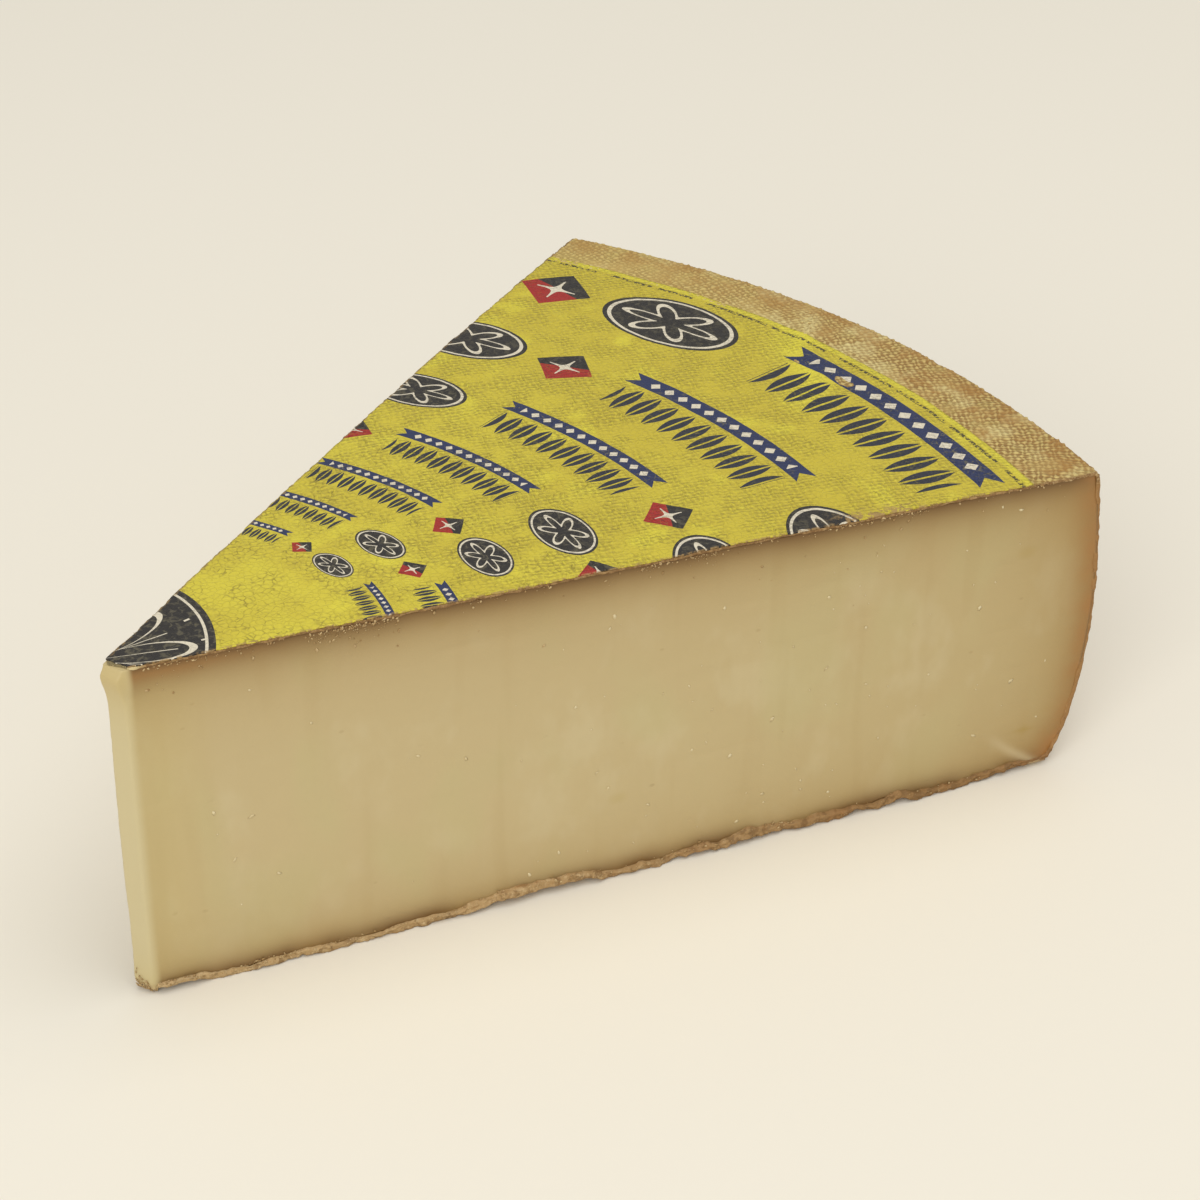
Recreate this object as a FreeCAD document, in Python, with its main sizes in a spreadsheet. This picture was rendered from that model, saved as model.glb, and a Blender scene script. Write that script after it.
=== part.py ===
import FreeCAD, Part
import math
import os
import Sketcher

# A wedge cut from a large, flat, hard cheese wheel, with its printed paper label.
#
# The wheel is turned about Z: flat underneath, its upper face falling gently to the rim,
# with a heel that bulges and draws in to a worn foot. Two wires cut the wedge out of it,
# and a third, short cut blunts the tip. The far wire bowed a little. Since then the soft
# paste has dried back behind the firm rind, and the underside's rind stands out as a wavy
# lip. The wheel's centre is the origin here, and +X halves the wedge. At the end both
# pieces move together, which puts the origin at the middle of the wedge's base.

SIZES = {
    "wheelRimRadius": (300.0, "radius of the wheel at its top edge"),
    "wheelCentreHeight": (108.5, "height of the wheel at its centre"),
    "rimDrop": (6.0, "how far the upper face falls from the centre to the rim"),
    "heelBulgeRadius": (230.0, "radius of the heel's bulge, seen from the side"),
    "shoulderHeight": (22.0, "height at which the bulge turns in to the foot"),
    "shoulderReach": (0.6, "how far that place stands outside the top edge"),
    "footInset": (6.4, "how far the foot stands inside the top edge"),
    "footHeight": (2.2, "height of the foot's corner above the underside"),
    "footRise": (32.0, "width of the border over which the underside rises to it"),
    "rimRounding": (1.5, "rounding of the top edge"),
    "footRounding": (2.5, "rounding of the foot's corner"),
    "wedgeAngle": (42.7, "angle between the two long cuts, in degrees"),
    "tipNearCut": (10.0, "distance from the wheel's centre to the tip on the near cut"),
    "tipFarCut": (8.0, "the same on the far cut"),
    "tipRounding": (2.0, "rounding of the tip's two upright edges"),
    "farCutBow": (2.4, "how far the far cut bows out"),
    "cutOverrun": (30.0, "how far the cutting tools run past the rim"),
    "topRind": (1.4, "thickness of the rind on the upper face"),
    "heelRind": (1.8, "thickness of the rind on the heel"),
    "footRind": (4.0, "thickness of the rind underneath"),
    "pasteShrink": (0.8, "how far the paste dried back behind the rind"),
    "lipReach": (1.0, "reach of the underside's lip at the ends of a cut"),
    "lipBelly": (1.9, "how much further it reaches halfway along the cut"),
    "lipWave": (0.6, "depth of the lip's waves"),
    "lipWavePitch": (37.0, "length of those waves"),
    "lipHeight": (6.0, "height at which the lip has sunk into the cut face"),
    "lipSink": (0.8, "how far inside the cut face it ends"),
    "labelMargin": (22.5, "width of bare rind between the label and the rim"),
    "labelShiftAlong": (3.6, "how far the label sits off the wheel's centre, along X"),
    "labelShiftAcross": (5.8, "how far it sits off the centre, along Y"),
    "labelThickness": (0.3, "thickness of the printed paper"),
}

Vector = FreeCAD.Vector
Constraint = Sketcher.Constraint
UP = Vector(0, 0, 1)
FULL_TURN = 360
# How far a raised outline runs on past the wheel, so that it cuts right through.
CLEAR = 10.0
# Points along each wavy side of the lip, which a smooth curve joins.
LIP_POINTS = 41
# The lip's second, shorter wave: how many run to one of the first, and its depth's share.
# No whole number of them fits, so the two never repeat together.
SECOND_WAVE_RATE = math.sqrt(5)
SECOND_WAVE_SHARE = 0.5

doc = FreeCAD.newDocument("cheeseWedge")
sheet = doc.addObject("Spreadsheet::Sheet", "sizes")
for row, (alias, (number, note)) in enumerate(SIZES.items(), start=1):
    sheet.set(f"A{row}", note)
    sheet.set(f"B{row}", str(number))
    sheet.setAlias(f"B{row}", alias)
doc.recompute()


def size(alias):
    """The number in the sheet's cell of that name."""
    return float(sheet.get(alias))


# --- Sketches -----------------------------------------------------------------------------


def arcBetween(start, end, radius):
    """An arc that bulges to the right of the way from start to end."""
    across = end - start
    left = UP.cross(across).normalize()
    centre = (start + end) / 2 + left * math.sqrt(radius**2 - (across.Length / 2) ** 2)
    angles = [math.atan2(point.y - centre.y, point.x - centre.x) for point in (start, end)]
    return Part.ArcOfCircle(Part.Circle(centre, UP, radius), *angles)


def closedSketch(name, corners, arcs, tangentAfter=()):
    """A loop drawn anticlockwise. Side n starts at corner n, and arcs gives the radius of
    each curved side. Sides in tangentAfter run smoothly into the next one."""
    made = doc.addObject("Sketcher::SketchObject", name)
    following = corners[1:] + corners[:1]
    for side, (start, end) in enumerate(zip(corners, following)):
        line = arcBetween(start, end, arcs[side]) if side in arcs else Part.LineSegment(start, end)
        made.addGeometry(line, False)
    for side in range(len(corners)):
        meets = "Tangent" if side in tangentAfter else "Coincident"
        made.addConstraint(Constraint(meets, side, 2, (side + 1) % len(corners), 1))
    return made


def bind(made, constraint, expression):
    """Adds a constraint whose number follows an expression of the sheet's cells."""
    made.setExpression(f"Constraints[{made.addConstraint(constraint)}]", expression)


def placeCorner(made, corner, along, up):
    """Ties a corner to its distances from the sketch's origin. None leaves it on an axis."""
    point = made.getPoint(corner, 1)
    for kind, axis, number, expression in (
        ("DistanceX", -2, point.x, along),
        ("DistanceY", -1, point.y, up),
    ):
        if expression is None:
            made.addConstraint(Constraint("PointOnObject", corner, 1, axis))
        else:
            bind(made, Constraint(kind, -1, 1, corner, 1, number), expression)


def halfProfile(name, top, heel, foot):
    """Half the wheel, seen from the side. Its outline stands inside the wheel's skin by the
    three sizes named, or on it where they are None."""
    inTop, inHeel, inFoot = (size(part) if part else 0.0 for part in (top, heel, foot))
    lessTop, lessHeel, moreFoot = (
        f"{sign} sizes.{part}" if part else ""
        for sign, part in (("-", top), ("-", heel), ("+", foot))
    )
    rim = size("wheelRimRadius") - inHeel
    centre = size("wheelCentreHeight") - inTop
    footRadius = rim - size("footInset")
    corners = [
        Vector(0, inFoot),
        Vector(footRadius - size("footRise"), inFoot),
        Vector(footRadius, size("footHeight") + inFoot),
        Vector(rim + size("shoulderReach"), size("shoulderHeight")),
        Vector(rim, centre - size("rimDrop")),
        Vector(0, centre),
    ]
    footCurve, bulge = 2, 3
    # Only a first guess for the foot's curve: it ends where and as the bulge begins.
    guess = size("heelBulgeRadius") / 3
    arcs = {footCurve: guess, bulge: size("heelBulgeRadius")}
    made = closedSketch(name, corners, arcs, tangentAfter=[footCurve])
    rimIs = f"sizes.wheelRimRadius {lessHeel}"
    centreIs = f"sizes.wheelCentreHeight {lessTop}"
    flatIs = f"0 {moreFoot}" if moreFoot else None
    placeCorner(made, 0, None, flatIs)
    placeCorner(made, 1, f"{rimIs} - sizes.footInset - sizes.footRise", flatIs)
    placeCorner(made, 2, f"{rimIs} - sizes.footInset", f"sizes.footHeight {moreFoot}")
    placeCorner(made, 3, f"{rimIs} + sizes.shoulderReach", "sizes.shoulderHeight")
    placeCorner(made, 4, rimIs, f"{centreIs} - sizes.rimDrop")
    placeCorner(made, 5, None, centreIs)
    bind(made, Constraint("Radius", bulge, size("heelBulgeRadius")), "sizes.heelBulgeRadius")
    return made


def turned(name, profile):
    """A half profile swept once round the wheel's axis. Its seam lies opposite the wedge."""
    profile.Placement.Rotation = FreeCAD.Rotation(180, 0, 90)
    made = doc.addObject("Part::Revolution", name)
    made.Source = profile
    made.Axis = UP
    made.Angle = FULL_TURN
    made.Solid = True
    return made


def raised(name, outline):
    """A plan outline raised right through the wheel."""
    made = doc.addObject("Part::Extrusion", name)
    made.Base = outline
    made.DirMode = "Custom"
    made.Dir = UP
    made.Solid = True
    made.setExpression("LengthFwd", f"sizes.wheelCentreHeight + {CLEAR}")
    made.LengthRev = CLEAR
    return made


def rounded(name, solid, wanted, alias):
    """Rounds those of a solid's edges that the test wanted picks."""
    doc.recompute()
    picked = [n for n, edge in enumerate(solid.Shape.Edges, start=1) if wanted(edge)]
    made = doc.addObject("Part::Fillet", name)
    made.Base = solid
    made.Edges = [(number, size(alias), size(alias)) for number in picked]
    return made


def combined(kind, name, first, second):
    """Two solids joined by a Part::Fuse, Part::Cut or Part::Common."""
    made = doc.addObject(f"Part::{kind}", name)
    made.Base = first
    made.Tool = second
    return made


# --- The wheel ----------------------------------------------------------------------------


def ringAt(radius, height):
    """A test for the ring edge of that radius and height."""

    def isRing(edge):
        curve = edge.Curve
        return isinstance(curve, Part.Circle) and (
            math.dist((curve.Radius, curve.Center.z), (radius, height)) < Part.Precision.confusion()
        )

    return isRing


def wheel():
    """The whole wheel, with its top edge and its foot rounded."""
    sharp = turned("sharpWheel", halfProfile("wheelProfile", None, None, None))
    rim = size("wheelRimRadius")
    rimRing = ringAt(rim, size("wheelCentreHeight") - size("rimDrop"))
    footRing = ringAt(rim - size("footInset"), size("footHeight"))
    softRim = rounded("softRim", sharp, rimRing, "rimRounding")
    return rounded("wheel", softRim, footRing, "footRounding")


def pasteCore():
    """The paste within the wheel's rind."""
    return turned("pasteCore", halfProfile("coreProfile", "topRind", "heelRind", "footRind"))


# --- The cuts -----------------------------------------------------------------------------


def wedgeOutline():
    """The wedge seen from above. Its corners are the tip's far one, the tip's near one, and
    the two past the rim. Rays from the wheel's centre carry the two cuts."""
    halfAngle = math.radians(size("wedgeAngle") / 2)
    far = Vector(math.cos(halfAngle), math.sin(halfAngle), 0)
    near = Vector(far.x, -far.y, 0)
    outer = size("wheelRimRadius") + size("cutOverrun")
    outerIs = "(sizes.wheelRimRadius + sizes.cutOverrun)"
    chord = outer - size("tipFarCut")
    bow = size("farCutBow")
    bowRadius = chord**2 / (8 * bow) + bow / 2
    bowRadiusIs = (
        f"({outerIs} - sizes.tipFarCut)^2 / (8 * sizes.farCutBow) + sizes.farCutBow / 2"
    )
    corners = [far * size("tipFarCut"), near * size("tipNearCut"), near * outer, far * outer]
    rimSide, farSide = 2, 3
    made = closedSketch("wedgeOutline", corners, {rimSide: outer, farSide: bowRadius})
    nearRay = made.addGeometry(Part.LineSegment(Vector(), near * outer), True)
    farRay = made.addGeometry(Part.LineSegment(Vector(), far * outer), True)
    for ray, corner, tip in ((nearRay, 2, 1), (farRay, 3, 0)):
        made.addConstraint(Constraint("Coincident", ray, 1, -1, 1))
        made.addConstraint(Constraint("Coincident", ray, 2, corner, 1))
        made.addConstraint(Constraint("PointOnObject", tip, 1, ray))
        bind(made, Constraint("Distance", ray, outer), outerIs)
    half = "sizes.wedgeAngle / 2 * 1 deg"
    bind(made, Constraint("Angle", nearRay, 1, -1, 1, halfAngle), half)
    bind(made, Constraint("Angle", -1, 1, farRay, 1, halfAngle), half)
    for corner, alias in ((0, "tipFarCut"), (1, "tipNearCut")):
        bind(made, Constraint("Distance", -1, 1, corner, 1, size(alias)), f"sizes.{alias}")
    bind(made, Constraint("Radius", rimSide, outer), outerIs)
    bind(made, Constraint("Radius", farSide, bowRadius), bowRadiusIs)
    return made


def isTipEdge(edge):
    """Whether an edge is one of the tip's two upright ones."""
    if not isinstance(edge.Curve, Part.Line):
        return False
    upright = abs(edge.tangentAt(edge.FirstParameter).z) > 1 - Part.Precision.angular()
    centre = edge.CenterOfMass
    return upright and math.hypot(centre.x, centre.y) < size("wheelRimRadius") / 2


def cutBlock(outline):
    """All that lies between the cuts, with the tip's upright edges rounded."""
    return rounded("cutBlock", raised("sharpCutBlock", outline), isTipEdge, "tipRounding")


def pasteBlock(outline):
    """The same, between where the paste has dried back to."""
    inset = doc.addObject("Part::Offset2D", "pasteOutline")
    inset.Source = outline
    inset.setExpression("Value", "-sizes.pasteShrink")
    inset.Join = "Intersection"
    return rounded("pasteBlock", raised("sharpPasteBlock", inset), isTipEdge, "tipRounding")


def lipSection(name, height, reachShare, sink):
    """A loop just outside the cuts at some height, with a wavy side along each cut."""
    halfAngle = math.radians(size("wedgeAngle") / 2)
    outer = size("wheelRimRadius") + size("cutOverrun")
    sides = []
    for across, tip, bow in ((-1, "tipNearCut", 0.0), (1, "tipFarCut", size("farCutBow"))):
        along = Vector(math.cos(halfAngle), across * math.sin(halfAngle), 0)
        outward = Vector(-math.sin(halfAngle), across * math.cos(halfAngle), 0)
        points = []
        for step in range(LIP_POINTS):
            share = step / (LIP_POINTS - 1)
            distance = size(tip) + (outer - size(tip)) * share
            belly = 4 * share * (1 - share)
            turn = 2 * math.pi * distance / size("lipWavePitch") + across
            shorter = math.sin(turn * SECOND_WAVE_RATE + across)
            wave = math.sin(turn) + SECOND_WAVE_SHARE * shorter
            reach = size("lipReach") + size("lipBelly") * belly + size("lipWave") * wave
            offset = bow * belly + reach * reachShare - sink
            points.append(along * distance + outward * offset + UP * height)
        curve = Part.BSplineCurve()
        curve.interpolate(points)
        sides.append(curve.toShape())
    near, far = sides
    nearTip, nearEnd = near.Vertexes[0].Point, near.Vertexes[-1].Point
    farTip, farEnd = far.Vertexes[0].Point, far.Vertexes[-1].Point
    beyondRim = Part.Arc(nearEnd, Vector(outer, 0, height), farEnd).toShape()
    across = Part.LineSegment(farTip, nearTip).toShape()
    made = doc.addObject("Part::Feature", name)
    made.Shape = Part.Wire([near, beyondRim, far, across])
    return made


def lip(whole):
    """The wavy lip of the underside's rind. It is widest at the bottom, where it follows
    the foot of the wheel, and it sinks into the cut faces above."""
    slopes = doc.addObject("Part::Loft", "lipSlopes")
    slopes.Sections = [
        lipSection("lipBottom", 0.0, 1.0, 0.0),
        lipSection("lipTop", size("lipHeight"), 0.0, size("lipSink")),
    ]
    slopes.Solid = True
    slopes.Ruled = True
    return combined("Common", "lip", whole, slopes)


# --- The two pieces -----------------------------------------------------------------------


def cheese(whole, block, outline):
    """The wedge in one solid: rind and paste, with its lip."""
    blank = combined("Common", "wedgeBlank", whole, block)
    driedAway = combined("Cut", "driedAway", pasteCore(), pasteBlock(outline))
    dried = combined("Cut", "driedWedge", blank, driedAway)
    made = combined("Fuse", "cheese", dried, lip(whole))
    made.Refine = True
    return made


def label(block):
    """The printed paper on the upper face. It was stuck on a little off the wheel's centre
    and cut through with the cheese, so it ends flush with both cuts and the tip."""
    centre, thickness = size("wheelCentreHeight"), size("labelThickness")
    rim, drop = size("wheelRimRadius"), size("rimDrop")
    corners = [
        Vector(0, centre),
        Vector(rim, centre - drop),
        Vector(rim, centre - drop + thickness),
        Vector(0, centre + thickness),
    ]
    profile = closedSketch("labelProfile", corners, {})
    centreIs, paperIs = "sizes.wheelCentreHeight", "sizes.labelThickness"
    placeCorner(profile, 0, None, centreIs)
    placeCorner(profile, 1, "sizes.wheelRimRadius", f"{centreIs} - sizes.rimDrop")
    placeCorner(profile, 2, "sizes.wheelRimRadius", f"{centreIs} - sizes.rimDrop + {paperIs}")
    placeCorner(profile, 3, None, f"{centreIs} + {paperIs}")
    disc = doc.addObject("Part::Cylinder", "labelDisc")
    disc.setExpression("Radius", "sizes.wheelRimRadius - sizes.labelMargin")
    disc.setExpression("Height", f"sizes.wheelCentreHeight + {CLEAR}")
    disc.setExpression("Placement.Base.x", "sizes.labelShiftAlong")
    disc.setExpression("Placement.Base.y", "sizes.labelShiftAcross")
    paper = combined("Common", "roundPaper", turned("paper", profile), disc)
    return combined("Common", "label", paper, block)


def checked():
    """Stops on any object that failed to build."""
    doc.recompute()
    for made in doc.Objects:
        bad = {"Invalid", "Error"} & set(made.State)
        assert not bad, f"{made.Name} is {', '.join(bad)}"
        if hasattr(made, "Shape"):
            assert not made.Shape.isNull() and made.Shape.isValid(), f"{made.Name} has a bad shape"


wheelBody = wheel()
planOutline = wedgeOutline()
wedgeBlock = cutBlock(planOutline)
pieces = [cheese(wheelBody, wedgeBlock, planOutline), label(wedgeBlock)]
checked()

box = FreeCAD.BoundBox()
for piece in pieces:
    box.add(piece.Shape.optimalBoundingBox(False))
for piece in pieces:
    piece.Placement.Base = Vector(-box.Center.x, -box.Center.y, -box.ZMin)
checked()

os.makedirs("parts", exist_ok=True)
for piece in pieces:
    assert len(piece.Shape.Solids) == 1, f"{piece.Label} is not one solid"
    piece.Shape.exportStep(f"parts/{piece.Label}.step")
    print(piece.Label, round(piece.Shape.Volume), piece.Shape.optimalBoundingBox(False))
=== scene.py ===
import math

import bmesh
import bpy
import numpy as np
from mathutils import Matrix, Vector


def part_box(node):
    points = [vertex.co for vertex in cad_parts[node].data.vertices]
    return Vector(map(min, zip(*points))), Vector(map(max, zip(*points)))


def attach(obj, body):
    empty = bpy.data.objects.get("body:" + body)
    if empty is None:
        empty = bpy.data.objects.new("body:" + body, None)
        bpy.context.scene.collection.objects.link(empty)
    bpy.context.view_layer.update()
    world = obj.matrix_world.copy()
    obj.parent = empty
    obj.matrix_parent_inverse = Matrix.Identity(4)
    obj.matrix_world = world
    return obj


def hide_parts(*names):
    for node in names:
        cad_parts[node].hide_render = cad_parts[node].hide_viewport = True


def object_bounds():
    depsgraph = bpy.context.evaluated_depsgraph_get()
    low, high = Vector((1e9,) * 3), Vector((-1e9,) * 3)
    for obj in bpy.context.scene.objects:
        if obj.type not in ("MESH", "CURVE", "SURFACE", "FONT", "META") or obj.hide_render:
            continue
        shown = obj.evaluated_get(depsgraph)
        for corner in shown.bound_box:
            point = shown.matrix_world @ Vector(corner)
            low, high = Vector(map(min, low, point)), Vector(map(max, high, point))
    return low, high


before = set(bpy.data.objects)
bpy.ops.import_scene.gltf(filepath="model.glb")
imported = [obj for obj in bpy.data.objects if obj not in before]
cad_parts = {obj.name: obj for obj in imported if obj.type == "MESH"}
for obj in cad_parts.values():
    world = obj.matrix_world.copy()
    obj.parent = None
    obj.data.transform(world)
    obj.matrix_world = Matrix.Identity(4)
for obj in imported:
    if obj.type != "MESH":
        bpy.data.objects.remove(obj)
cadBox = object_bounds()
print("frame loaded")

# Shapes are worked out in millimetres from the wheel's own centre, and become metres in the
# frame when a mesh is made.
mm = 0.001

wheel = {
    "rimRadius": 300.0,
    "centreHeight": 108.5,
    "rimDrop": 6.0,  # how far the upper face falls from the centre to the rim
    "bulgeRadius": 230.0,
    "shoulderHeight": 22.0,
    "shoulderReach": 0.6,
    "footBulge": 2.8,  # the foot's arc, its radius in shoulder heights
    "footInset": 6.4,
    "footHeight": 2.2,
    "footRise": 32.0,
    "cornerSoftening": 2.6,
    "halfAngle": math.radians(42.7) / 2,
    "tipNear": 10.0,
    "tipFar": 8.0,
    "tipSquare": 80.0,  # how far out the tip's flat cut still bends the rows
    "farBow": 2.4,
    "bowLength": 330.0,
}


# An arc from start to end that bulges away from the wheel's axis, as a row of points.
def arcPoints(start, end, radius, count):
    start, end = np.array(start), np.array(end)
    chord = end - start
    length = np.hypot(*chord)
    inward = np.array([chord[1], -chord[0]]) / length
    centre = (start + end) / 2 + inward * math.sqrt(radius**2 - (length / 2) ** 2)
    first, last = (math.atan2(*(p - centre)[::-1]) for p in (start, end))
    turn = np.linspace(first, last, count)
    return centre + radius * np.stack([np.cos(turn), np.sin(turn)], axis=1)


# Points an even step apart along a line, with its corners softened.
def softened(line, step, width):
    line = resampled(line, step)
    reach = max(1, int(round(width / step / 2)))
    kernel = np.hanning(2 * reach + 3)[1:-1]
    kernel /= kernel.sum()
    padded = np.concatenate([np.repeat(line[:1], reach, 0), line, np.repeat(line[-1:], reach, 0)])
    smooth = np.stack([np.convolve(padded[:, k], kernel, "valid") for k in range(2)], axis=1)
    smooth[0], smooth[-1] = line[0], line[-1]
    return smooth


def lengthsAlong(line):
    return np.concatenate([[0], np.cumsum(np.linalg.norm(np.diff(line, axis=0), axis=1))])


def resampled(line, step):
    along = lengthsAlong(line)
    places = np.linspace(0, along[-1], int(round(along[-1] / step)) + 1)
    return atLengths(line, places)


def atLengths(line, places):
    along = lengthsAlong(line)
    return np.stack([np.interp(places, along, line[:, k]) for k in range(line.shape[1])], axis=1)


def topHeight(radius):
    return wheel["centreHeight"] - wheel["rimDrop"] * radius / wheel["rimRadius"]


# The wheel's skin in a half section, as radius and height: from the centre over the upper
# face, down the heel and back under.
def skinProfile():
    rim = wheel["rimRadius"]
    edge = [rim, topHeight(rim)]
    shoulder = [rim + wheel["shoulderReach"], wheel["shoulderHeight"]]
    foot = [rim - wheel["footInset"], wheel["footHeight"]]
    rise = [foot[0] - wheel["footRise"], 0.0]
    parts = [
        [[0.0, wheel["centreHeight"]], edge],
        arcPoints(edge, shoulder, wheel["bulgeRadius"], count=60)[1:],
        arcPoints(shoulder, foot, wheel["shoulderHeight"] * wheel["footBulge"], count=20)[1:],
        [rise, [0.0, 0.0]],
    ]
    line = np.concatenate([np.array(part) for part in parts])
    return softened(line, step=0.2, width=wheel["cornerSoftening"])


skin = skinProfile()
skinLengths = lengthsAlong(skin)
crownRadius = skin[:, 0].max()
heelPart = skin[skin[:, 0] > wheel["rimRadius"] - wheel["footInset"]]
frameShift = np.array([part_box("cheese")[1].x / mm - crownRadius, 0.0, 0.0])


# The heel's radius at a height, for heights between the foot's corner and the rim's.
def heelRadius(height):
    return np.interp(height, heelPart[::-1, 1], heelPart[::-1, 0])


# How far the far cut stands outside a straight one.
def bowOffset(radius):
    share = np.clip((radius - wheel["tipFar"]) / (wheel["bowLength"] - wheel["tipFar"]), 0, 1)
    return wheel["farBow"] * 4 * share * (1 - share)


# Smooth random hills between -1 and 1 about a size apart, at points given in millimetres.
# A cell's corners take their heights from a table, picked by sums with three large primes.
hillTable = {"size": 4096, "primes": (73856093, 19349663, 83492791), "shifts": (7.31, 19.7)}


def hills(points, size, seed, octaves=1):
    total, weight, gain = 0.0, 0.0, 1.0
    table = np.random.default_rng(seed).uniform(-1, 1, hillTable["size"])
    points = np.asarray(points, float)
    bySeed, byOctave = hillTable["shifts"]
    for octave in range(octaves):
        place = points / (size / 2**octave) + seed * bySeed + octave * byOctave
        cell = np.floor(place).astype(np.int64)
        part = place - cell
        part = part * part * (3 - 2 * part)
        value = 0.0
        for corner in range(2 ** points.shape[-1]):
            share, index = 1.0, 0
            for k, prime in zip(range(points.shape[-1]), hillTable["primes"]):
                bit = (corner >> k) & 1
                share = share * (part[..., k] if bit else 1 - part[..., k])
                index = index + (cell[..., k] + bit) * prime
            value = value + share * table[(index ^ (index >> 13)) % hillTable["size"]]
        total, weight, gain = total + value * gain, weight + gain, gain / 2
    return total / weight


def stepUp(value, low, high):
    share = np.clip((value - low) / (high - low), 0, 1)
    return share * share * (3 - 2 * share)


# A woven cloth's print in a surface, with its threads along u and v, from about -1 to 1.
# The same sum serves meshes, with numbers, and materials, with their sockets.
weave = {"pitch": 2.7, "wander": 1.0, "jitter": 0.8, "slant": 0.35}


def wovenRelief(u, v, sin):
    turn = 2 * math.pi / weave["pitch"]
    bend = sin(v * 0.31 + sin(u * 0.17) * 1.3) + sin(u * 0.23 + v * 0.11)
    sway = sin(u * 0.27 - sin(v * 0.13) * 1.7) + sin(v * 0.19 - u * 0.07)
    bend = bend * weave["wander"] + sin(v * 1.13 + sin(u * 0.91) * 1.5) * weave["jitter"]
    sway = sway * weave["wander"] + sin(u * 1.21 - sin(v * 0.83) * 1.5) * weave["jitter"]
    across = sin((u + v * weave["slant"]) * turn + bend)
    down = sin((v - u * weave["slant"]) * turn + sway)
    return across * down + (across + down) * 0.25


# A mesh object from points in the wheel's millimetres.
def makePiece(name, points, faces, body="root"):
    mesh = bpy.data.meshes.new(name)
    mesh.from_pydata(((np.asarray(points) + frameShift) * mm).tolist(), [], faces)
    shell = bmesh.new()
    shell.from_mesh(mesh)
    bmesh.ops.recalc_face_normals(shell, faces=shell.faces)
    shell.to_mesh(mesh)
    shell.free()
    piece = bpy.data.objects.new(name, mesh)
    bpy.context.scene.collection.objects.link(piece)
    # All but the large end faces are shaded smooth.
    mesh.polygons.foreach_set("use_smooth", [len(face.vertices) < 5 for face in mesh.polygons])
    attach(piece, body)
    return piece


# Faces between two closed rings of any two counts. Each ring is its points' numbers and how
# far round, from 0 to 1, each point lies.
def ringFaces(first, second):
    (a, placeA), (b, placeB) = first, second
    if len(a) == len(b):
        count = len(a)
        return [(a[i], a[(i + 1) % count], b[(i + 1) % count], b[i]) for i in range(count)]
    faces, i, j = [], 0, 0
    while i < len(a) or j < len(b):
        nextA = placeA[i + 1] if i + 1 < len(a) else (1.0 if i < len(a) else 2.0)
        nextB = placeB[j + 1] if j + 1 < len(b) else (1.0 if j < len(b) else 2.0)
        if nextA <= nextB and i < len(a):
            faces.append((a[i % len(a)], a[(i + 1) % len(a)], b[j % len(b)]))
            i += 1
        else:
            faces.append((a[i % len(a)], b[(j + 1) % len(b)], b[j % len(b)]))
            j += 1
    return faces


# A closed skin over a row of rings, each an array of points and their places round.
def ringLoft(rings, endFaces):
    points, faces, numbered, start = [], [], [], 0
    for ring, places in rings:
        numbered.append((list(range(start, start + len(ring))), places))
        points.append(ring)
        start += len(ring)
    for first, second in zip(numbered, numbered[1:]):
        faces += ringFaces(first, second)
    faces += endFaces(numbered[0], numbered[-1])
    return np.concatenate(points), faces


# A lofted piece that stands for a solid of the frame.
def loftPiece(name, rings, endFaces, solid):
    points, faces = ringLoft(rings, endFaces)
    piece = makePiece(name, points, faces)
    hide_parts(solid)
    print(name, "made,", len(points), "points")
    return piece


# Where a point lies in the cloth's print: out over the upper face and on down the heel, and
# round the wheel.
def clothPlace(radius, height, angle, lesser, greater):
    rim = wheel["rimRadius"]
    return lesser(radius, rim) + greater(topHeight(rim) - height, 0.0), angle * rim


# A soft crease across the upper face, out of the label and over the bare border.
crease = {
    "middle": (269.4, -6.5),
    "turn": math.radians(47.0),
    "halfLength": 34.0,
    "width": 3.2,
    "height": 0.55,
}


# How far along the crease and beside it a place is. It serves meshes and materials alike.
def creasePlace(x, y, sin):
    x, y = x - crease["middle"][0], y - crease["middle"][1]
    alongX, alongY = math.cos(crease["turn"]), math.sin(crease["turn"])
    along = x * alongX + y * alongY
    return along, x * alongY - y * alongX + sin(along * 0.16) * 2.2


# The rise and fall of the whole upper face, which rind and label share.
def faceRelief(plan):
    along, beside = creasePlace(plan[:, 0], plan[:, 1], np.sin)
    ends = 1 - stepUp(np.abs(along), crease["halfLength"] * 0.6, crease["halfLength"])
    fold = np.exp(-((beside / crease["width"]) ** 2)) * ends * crease["height"]
    return hills(plan, 34.0, 3) * 0.32 + hills(plan, 11.0, 4) * 0.09 + fold


# A point of the wedge seen from above, by its distance from the wheel's axis and its share
# of the way from the near cut to the far one, with inset millimetres kept off both cuts.
def planPoint(radius, share, inset=0.0):
    half = wheel["halfAngle"]
    near = -half + inset / radius
    far = half + (bowOffset(radius) - inset) / radius
    angle = near + (far - near) * share
    blunt = 1 - stepUp(radius, wheel["tipNear"], wheel["tipSquare"])
    reach = radius - (wheel["tipNear"] - wheel["tipFar"]) * share * blunt
    reach = reach * (1 + (math.cos(half) / np.cos(angle) - 1) * blunt)
    return reach, angle


nearOutward = np.array([-math.sin(wheel["halfAngle"]), -math.cos(wheel["halfAngle"]), 0.0])
farOutward = nearOutward * [1, -1, 1]
nearSeed, farSeed = 31, 61  # for what is torn and bent along each cut

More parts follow.
